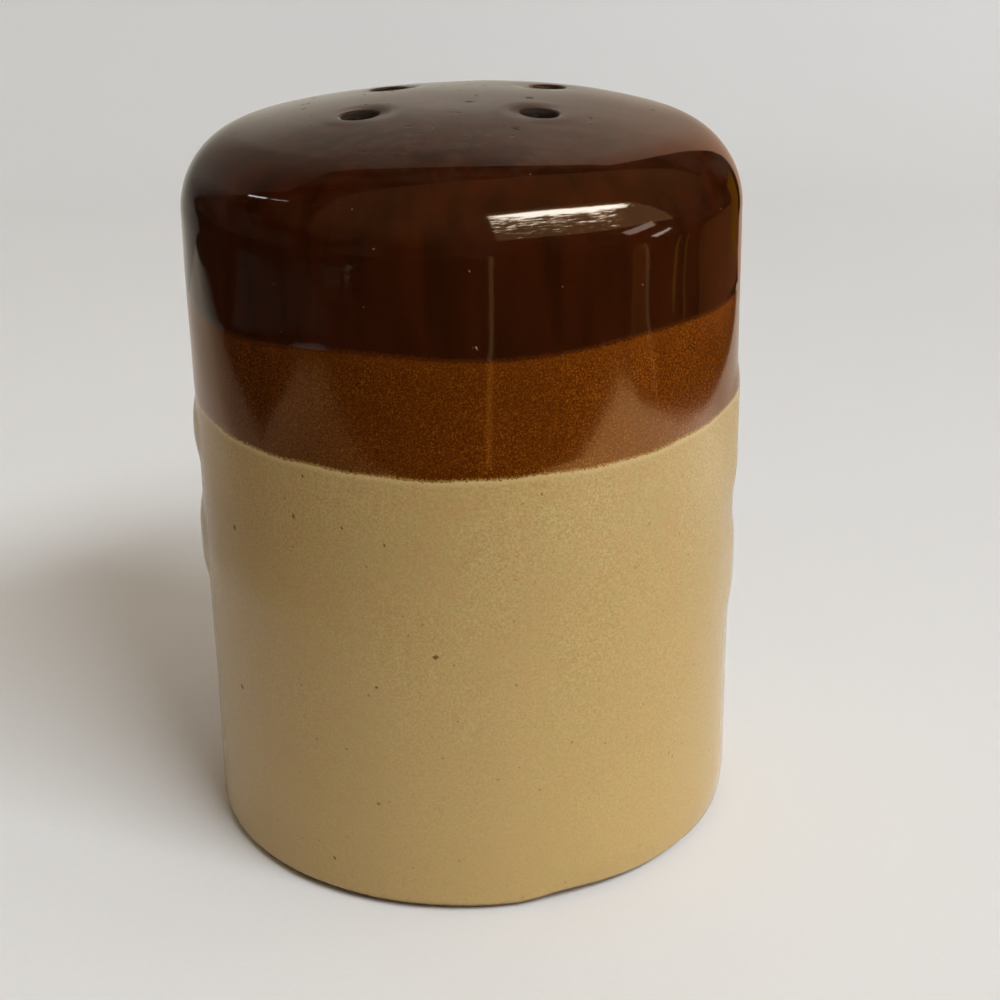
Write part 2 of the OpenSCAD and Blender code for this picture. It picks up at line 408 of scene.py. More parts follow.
def pierced_cap(inset, hole_r, lip, dip, rings, flip):
    """Patches of the dome with its holes, and each hole's rim. Rings blend the quarter's outline into the
    hole's circle; on the lip the radius shrinks by 1 - sin and the depth grows by 1 - cos of one angle."""
    radius, angle = quarter_outline()
    blend = 1 - (1 - np.linspace(0, 1, rings + 1)) ** RING_CROWDING
    bend = np.linspace(0, math.pi / 2, LIP_CELLS + 1)[1:] if lip else np.zeros(0)
    patches, rims = [], []
    for turn, centre in zip(quarter_turns, hole_places):
        edge = radius[:, None] * np.stack([np.cos(angle + turn), np.sin(angle + turn)], -1)
        away = (edge - centre) / np.linalg.norm(edge - centre, axis=1, keepdims=True)
        frame_rings = edge + ((centre + (hole_r + lip) * away) - edge) * blend[:, None, None]
        lip_rings = centre + (hole_r + lip * (1 - np.sin(bend)))[:, None, None] * away
        plan = np.concatenate([frame_rings, lip_rings])
        points = dome_point(plan[..., 0], plan[..., 1], inset)
        if dip:
            near = 1 - ease(np.linalg.norm(plan - centre, axis=-1), hole_r + lip, DIP_R)
            rim_z = dome_point(*centre, inset)[2] - dip
            points[..., 2] += near * (LEVEL * (rim_z - points[..., 2]) - (1 - LEVEL) * dip)
        points[len(frame_rings):, :, 2] -= (lip * (1 - np.cos(bend)))[:, None]
        patches.append((points, True, flip))
        rims.append(points[-1])
    rows, cols = np.meshgrid(np.linspace(0, CAP_IN, CROWN_CELLS + 1), turns, indexing="ij")
    patches.append((dome_point(rows * np.cos(cols), rows * np.sin(cols), inset), True, flip))
    return patches, rims


def hole_walls(rims, hole_r, rows, flip):
    """Walls of the holes, straight from each rim to the dome of the salt chamber, and their lower rims."""
    lower = pierced_cap(CAVITY_INSET, hole_r, 0, 0, 1, flip)[1]
    steps = np.linspace(0, 1, rows)[:, None, None]
    return [(rim + (foot - rim) * steps, True, flip) for rim, foot in zip(rims, lower)], lower


def cap_edge(inset):
    """Length along the section where the pierced cap ends."""
    return DOME_R * math.asin(CAP_OUT / (DOME_R - inset))


print("cells round each hole:", 2 * (QUARTER_CELLS + SPOKE_CELLS))

# %% [markdown]
# ## Brown coat
# The brown glaze covers dome and shoulder, runs over the lip of every pour hole and lines it right through
# the clay. Its outside and its underside are the same patches at two insets. Narrow rings join the two at
# the lower ends of the holes and along the dip line.

# %% Brown glaze over dome and shoulder
def joined(one, other):
    """Ring of cells from one closed loop of points to another."""
    return np.stack([one, other]), True, False


def brown_shell(inset, hole_r, rings, rows, flip):
    """One face of the brown coat: pierced cap, hole linings and the shoulder down to the dip line."""
    cap, rims = pierced_cap(inset, hole_r, LIP, DIP, rings, flip)
    linings, lower = hole_walls(rims, hole_r, 7, flip)
    s = cap_edge(inset) + (brown_edge - cap_edge(inset)) * np.linspace(0, 1, rows)[:, None] ** 0.9
    sink = BROWN_STEP * (1 - ease(brown_edge - s, 0, ROLL)) if inset == 0 else inset
    shoulder = skin(s, turns, sink)
    return cap + linings + [(shoulder, True, flip)], lower, shoulder[-1]


outer, outer_ends, outer_edge = brown_shell(0.0, POUR_R, 20, 64, False)
inner, inner_ends, inner_edge = brown_shell(GLAZE_T, POUR_R + GLAZE_T, 8, 32, True)
ends = [joined(one, other) for one, other in zip(outer_ends, inner_ends)]
brown_coat = build("brown_glaze_coat", outer + inner + ends + [joined(outer_edge, inner_edge)])
measure(brown_coat)

# %% [markdown]
# ## Clay casting
# Under the glaze lies the fired clay: wall, dome, base, foot ring and the chamber for the salt. Only its foot
# and underside show, so those corners are rounded as a sponge rounds them before firing. One path runs from
# the dome down the outside, under the base, up through the filling hole and back along the chamber's wall.

# %% Paths with rounded corners
def rounded(corners, radii, steps=6):
    """Path through corners, each rounded by a true arc that starts radius * tan(half the turn) before the
    corner and leaves along the next run."""
    corners = np.array(corners, float)
    path = [corners[:1]]
    for before, corner, after, radius in zip(corners, corners[1:], corners[2:], radii):
        one = (corner - before) / np.linalg.norm(corner - before)
        two = (after - corner) / np.linalg.norm(after - corner)
        bend = math.acos(np.clip(one @ two, -1, 1))
        side = (two - one * (one @ two)) / math.sin(bend)
        angle = np.linspace(0, bend, steps)[:, None]
        start = corner - one * radius * math.tan(bend / 2)
        path.append(start + radius * (np.sin(angle) * one + (1 - np.cos(angle)) * side))
    return np.concatenate(path + [corners[-1:]])


RECESS_R, RECESS_SLOPE, RECESS_H = 27.6, 0.8, 3.4
BASE_TOP = 8.4
FILL_R = 12.0
CAVITY_ROUND = 3.0
cavity_r = BODY_R - CAVITY_INSET
under_path = rounded(
    [(foot_x, 0), (RECESS_R, 0), (RECESS_R - RECESS_SLOPE, RECESS_H), (FILL_R, RECESS_H), (FILL_R, BASE_TOP),
     (cavity_r, BASE_TOP), (cavity_r, BASE_TOP + CAVITY_ROUND)],
    [0.5, 0.9, 0.6, 0.6, CAVITY_ROUND - 0.01])
print("points on the path under the base:", len(under_path))

# %% Clay body
clay_cap, clay_rims = pierced_cap(GLAZE_T, POUR_R + GLAZE_T, LIP, DIP, 8, False)
clay_holes = hole_walls(clay_rims, POUR_R + GLAZE_T, 5, False)[0]
chamber_cap = pierced_cap(CAVITY_INSET, POUR_R + GLAZE_T, 0, 0, 8, True)[0]
wall_s = cap_edge(GLAZE_T) + (foot_end - cap_edge(GLAZE_T)) * np.linspace(0, 1, 81)[:, None]
clay_wall = skin(wall_s, turns, GLAZE_T)
under = settle(under_path[:, :1], turns, under_path[:, 1:])
chamber_low, chamber_top = wall_length(BASE_TOP + CAVITY_ROUND), cap_edge(CAVITY_INSET)
chamber_s = chamber_low + (chamber_top - chamber_low) * np.linspace(0, 1, 41)[:, None]
chamber = skin(chamber_s, turns, CAVITY_INSET)
clay_body = build("clay_casting", clay_cap + clay_holes + chamber_cap
                  + [(np.concatenate([clay_wall, under[1:-1], chamber]), True, False)])
measure(clay_body)

# %% [markdown]
# ## Soft stopper
# The stopper is moulded from soft plastic: a thin flange under the base, a hollow plug with two sealing beads
# and a grip bar to pull it by. A turned section with rounded corners gives flange and plug. The bar is a
# round-ended outline that shrinks onto its own middle line, so its end is closed and its edges are soft.

# %% Stopper
FLANGE_R, FLANGE_Z, FLANGE_TOP = 16.0, 1.7, 3.3
PLUG_R, PLUG_IN_R, PLUG_TOP = 11.6, 9.9, 12.3
NOSE_W, NOSE_H = 0.4, 0.8
BEAD_R, BEAD_HALF, BEAD_HEIGHTS = 11.95, 0.75, [7.0, 4.8]
GRIP_HALF_L, GRIP_HALF_W, GRIP_LOW_Z = 9.0, 1.6, 0.7
GRIP_SOFT, GRIP_ROOT, GRIP_FLAT = 0.45, 0.3, 0.5

beads, bead_radii = [], []
for height in BEAD_HEIGHTS:
    beads += [(PLUG_R, height + BEAD_HALF), (BEAD_R, height), (PLUG_R, height - BEAD_HALF)]
    bead_radii += [0.4, 0.5, 0.4]
stopper_path = rounded(
    [(0, FLANGE_TOP), (PLUG_IN_R, FLANGE_TOP), (PLUG_IN_R, PLUG_TOP), (PLUG_R - NOSE_W, PLUG_TOP),
     (PLUG_R, PLUG_TOP - NOSE_H), *beads, (PLUG_R, FLANGE_TOP), (FLANGE_R, FLANGE_TOP), (FLANGE_R, FLANGE_Z),
     (0, FLANGE_Z)],
    [1.2, 0.4, 0.3, 0.5, *bead_radii, 0.5, 0.7, 0.7])
stopper_turns = np.linspace(0, 2 * math.pi, 128, endpoint=False)
turned = polar(stopper_path[:, :1], stopper_turns, stopper_path[:, 1:])


def grip_ring(half_w, z):
    """Round-ended outline half_w from the bar's middle line, at one height."""
    ring = polar(half_w, stopper_turns, z)
    ring[:, 0] += np.where(np.cos(stopper_turns) >= 0, 1.0, -1.0) * (GRIP_HALF_L - GRIP_HALF_W)
    return ring


soft_bend = np.linspace(0, math.pi / 2, 7)
soft_widths = GRIP_HALF_W - GRIP_SOFT * (1 - np.cos(soft_bend))
soft_heights = GRIP_LOW_Z + GRIP_SOFT * (1 - np.sin(soft_bend))
grip_widths = np.concatenate([[0, GRIP_HALF_W], soft_widths, [GRIP_FLAT, 0]])
grip_heights = np.concatenate([[FLANGE_Z + GRIP_ROOT] * 2, soft_heights, [GRIP_LOW_Z] * 2])
grip = np.stack([grip_ring(width, height) for width, height in zip(grip_widths, grip_heights)])
stopper = build("soft_stopper", [(turned, True, False), (grip, True, False)])
measure(stopper)

# %% [markdown]
# ## Fields for the glazes
# The grains of one glaze mingle with the next within a millimetre of a dip line, and glaze that ran into a
# hole dries thin and dull. A material can only follow such places if the mesh tells it where they are, so
# every vertex stores its height above both dip lines and its depth below the dome, in millimetres. The
# shaders read these fields by name.

# %% Heights above the dip lines and depth in the holes
def store_fields(piece):
    """Store each vertex's height above the brown and the caramel line and its depth below the dome, in mm."""
    points = np.empty(len(piece.data.vertices) * 3)
    piece.data.vertices.foreach_get("co", points)
    x, y, z = points.reshape(-1, 3).T / MM
    turn = np.arctan2(y, x)
    dome = dome_z + np.sqrt(DOME_R**2 - x**2 - y**2)
    fields = {"above_brown_line": z - brown_line(turn), "above_caramel_line": z - caramel_line(turn),
              "below_dome": np.where(np.hypot(x, y) < CAP_OUT, dome - z, 0)}
    for name, values in fields.items():
        field = piece.data.attributes.new(name, "FLOAT", "POINT")
        field.data.foreach_set("value", values.astype(np.float32))


for coat in [brown_coat, caramel_coat, buff_coat]:
    store_fields(coat)
print("fields on the coats:", [field.name for field in buff_coat.data.attributes if "_" in field.name])

# %% [markdown]
# ## Tools for materials
# Colours are written as the hex values an eye reads off a screen and turned to linear light once. Patterns
# are sized in millimetres, while coordinates come in metres. One small function adds any shader node: its
# settings are the node's own choices, and each input takes a fixed value, a hex colour, an output or a node.
# A node stands for the first output that its settings leave in use. A finish is then a list of layers, each a
# colour laid over the last by a mask.

# %% Colour, scale and node helpers
def linear(code):
    """Linear RGBA of an sRGB hex colour: v / 12.92 up to 0.04045, else ((v + 0.055) / 1.055) ** 2.4."""
    values = [int(code[i:i + 2], 16) / 255 for i in (1, 3, 5)]
    return [v / 12.92 if v <= 0.04045 else ((v + 0.055) / 1.055) ** 2.4 for v in values] + [1.0]


def per_metre(size_mm):
    """Texture scale that makes a pattern repeat about every size_mm."""
    return 1000.0 / size_mm


def feed(material, node, inputs):
    """Link or set the inputs of a node, given by name or number or, in a list, in order."""
    numbered = inputs if isinstance(inputs, dict) else dict(enumerate(inputs))
    for socket, value in numbered.items():
        if isinstance(value, bpy.types.Node):
            value = next(output for output in value.outputs if output.enabled)
        if isinstance(value, bpy.types.NodeSocket):
            material.node_tree.links.new(value, node.inputs[socket])
        else:
            node.inputs[socket].default_value = linear(value) if isinstance(value, str) else value


def add(material, kind, inputs=None, stops=None, **settings):
    """Add one shader node with its settings, colour stops and inputs, and return it."""
    made = material.node_tree.nodes.new("ShaderNode" + kind)
    for key, value in settings.items():
        setattr(made, key, value)
    for number, (place, colour) in enumerate(stops or []):
        ramp = made.color_ramp.elements
        stop = ramp[number] if number < 2 else ramp.new(place)
        stop.position = place
        stop.color = linear(colour)
    feed(material, made, inputs or [])
    return made


def new_material(name):
    """Empty node material with its shader and the Object coordinates that patterns read."""
    material = bpy.data.materials.new(name)
    material.use_nodes = True
    shader = material.node_tree.nodes["Principled BSDF"]
    return material, shader, add(material, "TexCoord").outputs["Object"]


def layered(material, tone, layers):
    """Lay colours over a tone one after another. Each has a source, and its cover grows from nothing where
    the source is at start to most where it is at end."""
    for source, start, end, most, colour in layers:
        cover = add(material, "MapRange", [source, start, end, 0.0, most])
        tone = add(material, "Mix", {0: cover, 6: tone, 7: colour}, data_type="RGBA")
    return tone


print("buff in linear light:", np.round(linear("#b99d68"), 3))

# %% [markdown]
# ## Dots
# Specks, dust and pinholes are all dots, and real ones are neither round nor evenly spread. Noise shakes the
# coordinates to make their outlines ragged. A Voronoi pattern gives every cell a middle, and only a share of
# the cells carries a dot. Dots that the eye would miss get places of their own.

# %% Patterns of dots
def warped(material, coords, size, reach):
    """Coordinates shaken by noise of a size in mm, up to half a reach each way."""
    shake = add(material, "TexNoise", {"Vector": coords, "Scale": per_metre(size)})
    centred = add(material, "VectorMath", [shake.outputs["Color"], (0.5, 0.5, 0.5)], operation="SUBTRACT")
    return add(material, "VectorMath", [centred, [reach * MM] * 3, coords], operation="MULTIPLY_ADD")


def sparse_dots(material, coords, spacing, outer, inner, share):
    """Mask of dots in a share of the cells of a Voronoi pattern: 0 at the outer radius, 1 at the inner one,
    lengths in mm."""
    cell = add(material, "TexVoronoi", {"Vector": coords, "Scale": per_metre(spacing)})
    spot = add(material, "MapRange", [cell, outer / spacing, inner / spacing])
    chosen = add(material, "Math", [cell.outputs["Color"], 1 - share], operation="GREATER_THAN")
    return add(material, "Math", [spot, chosen], operation="MULTIPLY")


SPECK_R = BODY_R - RIPPLE_SINK - buff_level
SPECK_CORE = 0.45


def placed_dots(material, coords, specks):
    """Mask of dots at given turns from the front, heights and radii: 0 at the radius, 1 within its core."""
    mask = 0.0
    for front, height, radius in specks:
        turn = math.radians(front)
        place = [SPECK_R * math.sin(turn) * MM, -SPECK_R * math.cos(turn) * MM, height * MM]
        away = add(material, "VectorMath", [coords, place], operation="DISTANCE")
        spot = add(material, "MapRange", [away, radius * MM, SPECK_CORE * radius * MM])
        mask = add(material, "Math", [spot, mask], operation="MAXIMUM")
    return mask


print("specks lie at a radius of", SPECK_R, "mm")

# %% [markdown]
# ## Buff glaze
# Clear glaze over an iron-bearing clay gives a warm buff with fine grain and a few dark specks where iron in
# the clay melted through. The grain is noise of about a quarter of a millimetre. The large specks have places
# of their own, and small ones are scattered. The left side is painted darker as painted shade, and the glaze
# is painted paler towards the foot as painted light bounced up from the table. It is also paler along its
# upper edge, where caramel grains stray over it.

# %% Buff stoneware glaze
# Turn from the front in degrees, height and radius in mm
IRON_SPECKS = [(-55.0, 43.8, 0.42), (-57.1, 22.6, 0.40), (-6.9, 33.6, 0.42), (-33.1, 53.5, 0.26),
               (-37.9, 50.3, 0.16), (-35.9, 48.3, 0.26), (-24.8, 48.2, 0.20), (-16.1, 46.8, 0.24),
               (-18.9, 29.2, 0.26), (-30.3, 5.1, 0.30), (13.9, 52.5, 0.18), (48.3, 52.1, 0.20),
               (130.0, 38.0, 0.45), (170.0, 20.0, 0.40), (-140.0, 30.0, 0.42), (95.0, 14.0, 0.36)]
RED_SPECKS = [(-19.5, 13.9, 0.24), (-17.3, 14.4, 0.22), (-20.5, 28.0, 0.22), (60.0, 24.0, 0.24),
              (-160.0, 45.0, 0.24)]

buff, shader, coords = new_material("buff_stoneware_glaze")
grain = add(buff, "TexNoise", {"Vector": coords, "Scale": per_metre(0.26), "Roughness": 0.6})
tone = add(buff, "ValToRGB", [grain], [(0.32, "#977841"), (0.50, "#b0935a"), (0.68, "#c5ab72")])
cloud = add(buff, "TexNoise", {"Vector": coords, "Scale": per_metre(11)})
hue = add(buff, "TexNoise", {"Vector": coords, "Scale": per_metre(2.5), "Detail": 3.0})
hue = add(buff, "ValToRGB", [hue], [(0.4, "#b08d5a"), (0.6, "#ac925a")])
place = add(buff, "SeparateXYZ", [coords])
bent = warped(buff, coords, 0.6, 0.6)
pepper = sparse_dots(buff, bent, 1.6, 0.176, 0.08, 0.45)
red = placed_dots(buff, bent, RED_SPECKS)
iron = placed_dots(buff, bent, IRON_SPECKS)
height = add(buff, "Attribute", attribute_name="above_caramel_line").outputs["Fac"]
stray = add(buff, "TexNoise", {"Vector": coords, "Scale": per_metre(0.22), "Roughness": 0.7})
edge = add(buff, "Math", [stray, height], operation="ADD")
tone = layered(buff, tone, [
    (cloud, 0.0, 1.0, 1.0, hue),
    # Painted shade: the left side is darker.
    (place.outputs["X"], 0.005, -0.025, 0.3, "#8a6840"),
    # Painted light: paler towards the foot, for light bounced up from the table.
    (place.outputs["Z"], 0.045, 0.01, 0.5, "#c0a166"),
    (pepper, 0.0, 1.0, 0.6, "#694a20"),
    (red, 0.0, 1.0, 1.0, "#8a5a2c"),
    (iron, 0.0, 1.0, 1.0, "#5a4619"),
    (height, -0.8, -0.25, 0.4, "#cbb480"),
    (edge, 0.36, 0.52, 1.0, "#7a4a14")])
peel = add(buff, "TexNoise", {"Vector": coords, "Scale": per_metre(1.4)})
waves = add(buff, "Bump", {"Strength": 0.5, "Distance": 0.02 * MM, "Height": peel})
feed(buff, shader, {"Base Color": tone, "Normal": waves, "Roughness": 0.16, "IOR": 1.5,
                    "Specular IOR Level": 0.3})
buff_coat.data.materials.append(buff)
print("specks with a place of their own:", len(IRON_SPECKS) + len(RED_SPECKS))

# %% [markdown]
# ## Caramel glaze
# The caramel band is the same glaze with more iron. It breaks into gold and dark grains of two or three
# tenths of a millimetre, a little more golden where the brown coat thins out above it. Its left side is
# painted darker as painted shade. At both edges the grains scatter over about a millimetre, so the edges are
# drawn by grain noise added to the height.

# %% Caramel glaze with gold grain
CARAMEL_GRAIN = 0.2
caramel, shader, coords = new_material("caramel_speckled_glaze")
grain = add(caramel, "TexNoise",
            {"Vector": coords, "Scale": per_metre(CARAMEL_GRAIN), "Roughness": 0.6})
tone = add(caramel, "ValToRGB", [grain],
           [(0.30, "#421b01"), (0.45, "#562503"), (0.56, "#683306"), (0.72, "#945317")])
cloud = add(caramel, "TexNoise", {"Vector": coords, "Scale": per_metre(5)})
under_brown = add(caramel, "Attribute", attribute_name="above_brown_line").outputs["Fac"]
place = add(caramel, "SeparateXYZ", [coords])
stray = add(caramel, "TexNoise", {"Vector": coords, "Scale": per_metre(0.22), "Roughness": 0.7})
over_buff = add(caramel, "Attribute", attribute_name="above_caramel_line").outputs["Fac"]
low_edge = add(caramel, "Math", [stray, 1.1, over_buff], operation="MULTIPLY_ADD")
top_edge = add(caramel, "Math", [stray, 1.2, under_brown], operation="MULTIPLY_ADD")
tone = layered(caramel, tone, [
    (cloud, 0.35, 0.7, 0.4, "#552604"),
    (under_brown, -2.6, 0.0, 0.12, "#79410c"),
    # Painted shade: the left side is darker.
    (place.outputs["X"], 0.015, -0.03, 0.55, "#1c0b00"),
    (low_edge, 0.82, 0.5, 1.0, "#9c7c3c"),
    (top_edge, 0.3, 0.7, 1.0, "#371505")])
grit = add(caramel, "Bump", {"Strength": 0.05, "Distance": 0.02 * MM, "Height": grain})
feed(caramel, shader, {"Base Color": tone, "Normal": grit, "Roughness": 0.09, "IOR": 1.9,
                       "Specular Tint": "#ffc06f"})
caramel_coat.data.materials.append(caramel)
print("caramel grain, mm:", CARAMEL_GRAIN)

# %% [markdown]
# ## Brown glaze
# The thickest coat looks almost black in the shade and red-brown where light gets in. It is nearly a mirror,
# so most of what the eye sees on the dome is the pale wall reflected. Pinholes and little craters, left where
# gas burst through the melt, are dull dots with a little bump, since they are finer than the mesh, painted
# dark as shade in the craters. The glaze inside the pour holes is dull too, with a crust of fine grains,
# painted near black as the shade down the holes. Fine dust sits on the rest, a thin film dulls the dome, and
# grains of caramel show through the lower edge.

# %% Dark brown gloss glaze
# Spacing and radius of the pinholes in mm, and the share of the cells that have one
PINHOLES = [(2.4, 0.4, 0.5), (5.0, 0.8, 0.6), (1.3, 0.17, 0.5)]
PINHOLE_CORE = 0.1

brown, shader, coords = new_material("iron_brown_gloss_glaze")
runs = add(brown, "Mapping", {"Vector": coords, "Scale": (per_metre(3), per_metre(3), per_metre(24))})
streak = add(brown, "TexNoise", {"Vector": runs, "Scale": 1.0, "Detail": 3.0})
tone = add(brown, "ValToRGB", [streak], [(0.3, "#200b01"), (0.7, "#341203")])
bent = warped(brown, coords, 0.8, 1.6)
dust = sparse_dots(brown, bent, 2.2, 0.132, 0.066, 0.5)
height = add(brown, "Attribute", attribute_name="above_brown_line").outputs["Fac"]
stray = add(brown, "TexNoise", {"Vector": coords, "Scale": per_metre(0.24), "Roughness": 0.7})
thin = add(brown, "Math", [stray, 1.2, height], operation="MULTIPLY_ADD")
place = add(brown, "SeparateXYZ", [coords])
on_dome = add(brown, "MapRange", [place.outputs["Z"], 0.0855, 0.088, 0.0, 0.62])
film = add(brown, "TexNoise", {"Vector": coords, "Scale": per_metre(2.2), "Detail": 4.0, "Roughness": 0.65})
film = add(brown, "MapRange", [film, 0.45, 0.7, 0.0, 0.1])
film = add(brown, "Math", [film, on_dome], operation="MULTIPLY")
pits = 0.0
for spacing, size, share in PINHOLES:
    spots = sparse_dots(brown, bent, spacing, size, PINHOLE_CORE * size, share)
    pits = add(brown, "Math", [spots, pits], operation="MAXIMUM")
pits = add(brown, "Math", [pits, on_dome], operation="MULTIPLY")
depth = add(brown, "Attribute", attribute_name="below_dome").outputs["Fac"]
inside = add(brown, "MapRange", [depth, 0.1, 0.32])
dull = add(brown, "Math", [pits, inside], operation="MAXIMUM")
# Painted shade: the dull grains in the holes and pinholes are near black, for the shade down in them.
crust_and_shade = add(brown, "ValToRGB", [stray], [(0.5, "#040201"), (0.75, "#241c16")])
tone = layered(brown, tone, [
    (dust, 0.0, 1.0, 1.0, "#8f7a66"),
    (thin, 1.1, 0.5, 0.8, "#4c2206"),
    (film, 0.0, 1.0, 1.0, "#9a8f80"),
    (dull, 0.0, 1.0, 1.0, crust_and_shade)])
gloss = add(brown, "MapRange", {0: dull, 3: 0.055, 4: 0.9})
peel = add(brown, "TexNoise", {"Vector": coords, "Scale": per_metre(2.4)})
waves = add(brown, "Bump", {"Strength": 0.45, "Distance": 0.02 * MM, "Height": peel})
sunk = add(brown, "Bump", {"Strength": 0.6, "Distance": 0.06 * MM, "Height": pits, "Normal": waves},
           invert=True)
feed(brown, shader, {"Base Color": tone, "Roughness": gloss, "Normal": sunk, "IOR": 1.53})
brown_coat.data.materials.append(brown)
print("pinhole sizes on the dome, mm:", [size for spacing, size, share in PINHOLES])

# %% [markdown]
# ## Bare clay and soft plastic
# The foot and the underside are left without glaze, so the fired clay shows: dry, a little darker than the
# buff glaze, with fine sandy grain. The stopper is milky soft plastic that lets some light in, with the faint
# haze of use.

# %% Bare stoneware
CLAY_GRAIN = 0.5
clay, shader, coords = new_material("bare_fired_stoneware")
sand = add(clay, "TexNoise",
           {"Vector": coords, "Scale": per_metre(CLAY_GRAIN), "Detail": 4.0, "Roughness": 0.7})
tone = add(clay, "ValToRGB", [sand], [(0.3, "#8d6c44"), (0.5, "#ab8859"), (0.7, "#c4a274")])
grit = add(clay, "TexVoronoi", {"Vector": coords, "Scale": per_metre(2.2)})
tone = layered(clay, tone, [(grit, 0.12, 0.06, 0.7, "#54391c")])
rough = add(clay, "Bump", {"Strength": 0.7, "Distance": 0.08 * MM, "Height": sand})
feed(clay, shader, {"Base Color": tone, "Normal": rough, "Roughness": 0.86, "IOR": 1.45})
clay_body.data.materials.append(clay)
print("clay grain, mm:", CLAY_GRAIN)

# %% Milky soft plastic
plastic, shader, coords = new_material("milky_soft_plastic")
haze = add(plastic, "TexNoise", {"Vector": coords, "Scale": per_metre(3.5), "Detail": 4.0, "Roughness": 0.65})
tone = add(plastic, "ValToRGB", [haze], [(0.3, "#cfc6b2"), (0.7, "#e3dccb")])
matt = add(plastic, "MapRange", [haze, 0.3, 0.7, 0.36, 0.52])
fine = add(plastic, "TexNoise", {"Vector": coords, "Scale": per_metre(0.35)})
frost = add(plastic, "Bump", {"Strength": 0.4, "Distance": 0.02 * MM, "Height": fine})
feed(plastic, shader, {"Base Color": tone, "Roughness": matt, "Normal": frost, "IOR": 1.5,
                       "Subsurface Weight": 0.25, "Subsurface Radius": (0.002, 0.0017, 0.0012)})
stopper.data.materials.append(plastic)
print("stopper finish:", plastic.name)

# %% [markdown]
# ## Pieces in the frame
# Each new surface stands for one CAD solid. It hides that solid and rides on the same body, so the stopper
# still slides out of the base when the joint moves.

# %% Ride and replace
PIECES = [(clay_body, "clay_body", "clay", "shaker"),
          (buff_coat, "buff_glaze", "buff_glaze", "shaker"),
          (caramel_coat, "caramel_glaze", "caramel_glaze", "shaker"),
          (brown_coat, "brown_glaze", "brown_glaze", "shaker"),
          (stopper, "stopper", "stopper", "plug")]
for piece, solid, finish, body in PIECES:
    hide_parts(solid)
    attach(piece, body)
print("pieces:", [piece.name for piece, solid, finish, body in PIECES])

# %% [markdown]
# ## Table and backdrop
# The shaker stands on white paper that sweeps up behind it. Seen from below the table is clear, so that the
# underside can be looked at: the material asks which side of the sheet a ray meets. Inside the foot ring it
# is clear both ways, which lets light up to the stopper and shows nowhere from above.

# %% Pale floor
def staged(piece, material):
    """Give a piece of the stage its material and keep it out of the part."""
    piece.data.materials.append(material)
    piece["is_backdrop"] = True
    return piece


def sheet(name, corners, material):
    """Flat sheet with its corners in metres."""
    mesh = bpy.data.meshes.new(name)
    mesh.from_pydata([tuple(corner) for corner in corners], [], [range(len(corners))])
    made = bpy.data.objects.new(name, mesh)
    bpy.context.scene.collection.objects.link(made)
    return staged(made, material)


paper, shader, coords = new_material("white_paper")
fibre = add(paper, "TexNoise", {"Vector": coords, "Scale": per_metre(0.8), "Detail": 3.0})
tone = add(paper, "ValToRGB", [fibre], [(0.3, "#e2e3e2"), (0.7, "#e4e5e4")])
# Painted shade: the paper darkens towards the back and the right, as painted fall-off of the light.
back = add(paper, "VectorMath", [coords, (1.0, 0.6, 0.0)], operation="DOT_PRODUCT")
tone = layered(paper, tone, [(back, -0.1, 0.25, 1.0, "#d8d8d7")])
feed(paper, shader, {"Base Color": tone, "Roughness": 0.9, "Specular IOR Level": 0.0})
away = add(paper, "VectorMath", [coords], operation="LENGTH")
under = add(paper, "Math", [away, (RECESS_R - 1) * MM], operation="LESS_THAN")
below = add(paper, "NewGeometry").outputs["Backfacing"]
clear = add(paper, "Math", [below, under], operation="MAXIMUM")
shown = add(paper, "MixShader", [clear, shader, add(paper, "BsdfTransparent")])
feed(paper, paper.node_tree.nodes["Material Output"], {"Surface": shown})

SWEEP_Y, SWEEP_R = 0.35, 0.2
TABLE = 1.6
sheet("table", [(-TABLE, -TABLE, 0), (TABLE, -TABLE, 0), (TABLE, SWEEP_Y, 0), (-TABLE, SWEEP_Y, 0)], paper)
bend = np.linspace(0, math.pi / 2, 25)
sweep_y = np.concatenate([SWEEP_Y + SWEEP_R * np.sin(bend), [SWEEP_Y + SWEEP_R]])
sweep_z = np.concatenate([SWEEP_R * (1 - np.cos(bend)), [TABLE / 2]])
sweep_x = np.array([[TABLE, -TABLE]])
sweep = np.stack(np.broadcast_arrays(sweep_x, sweep_y[:, None], sweep_z[:, None]), -1)
backdrop = staged(build("backdrop", [(sweep / MM, False, False)]), paper)
backdrop.visible_glossy = False
print("backdrop curve starts", SWEEP_Y, "m behind the shaker")

# %% [markdown]
# ## Light
# Soft daylight comes from a window at the front right, with weaker light from the right and from all round.
# Area lamps give that light and stay out of reflections, which the next steps make. The world is brighter
# overhead for the light it gives and a plain pale grey where it is seen.

# %% Lamps and world
SHOULDER_HEIGHT, AIM_HEIGHT = 0.06, 0.05


def toward(azimuth, elevation, distance):
    """Point at a distance from the shaker's shoulder, azimuth in degrees from the front to the right."""
    a, e = math.radians(azimuth), math.radians(elevation)
    way = Vector((math.sin(a) * math.cos(e), -math.cos(a) * math.cos(e), math.sin(e)))
    return way * distance + Vector((0, 0, SHOULDER_HEIGHT))


def lamp(name, azimuth, elevation, distance, width, height, watts, colour):
    """Area lamp that faces the shaker and stays out of its reflections."""
    data = bpy.data.lights.new(name, "AREA")
    data.shape = "RECTANGLE"
    data.size, data.size_y = width, height
    data.energy = watts
    data.color = linear(colour)[:3]
    made = bpy.data.objects.new(name, data)
    made.location = toward(azimuth, elevation, distance)
    made.rotation_euler = (Vector((0, 0, AIM_HEIGHT)) - made.location).to_track_quat("-Z", "Y").to_euler()
    made.visible_glossy = False
    bpy.context.scene.collection.objects.link(made)


lamp("window_light", 42, 46, 1.6, 0.95, 0.4, 23.0, "#f1f7ff")
lamp("right_light", 90, 11, 1.5, 1.6, 0.5, 8.0, "#ffffff")

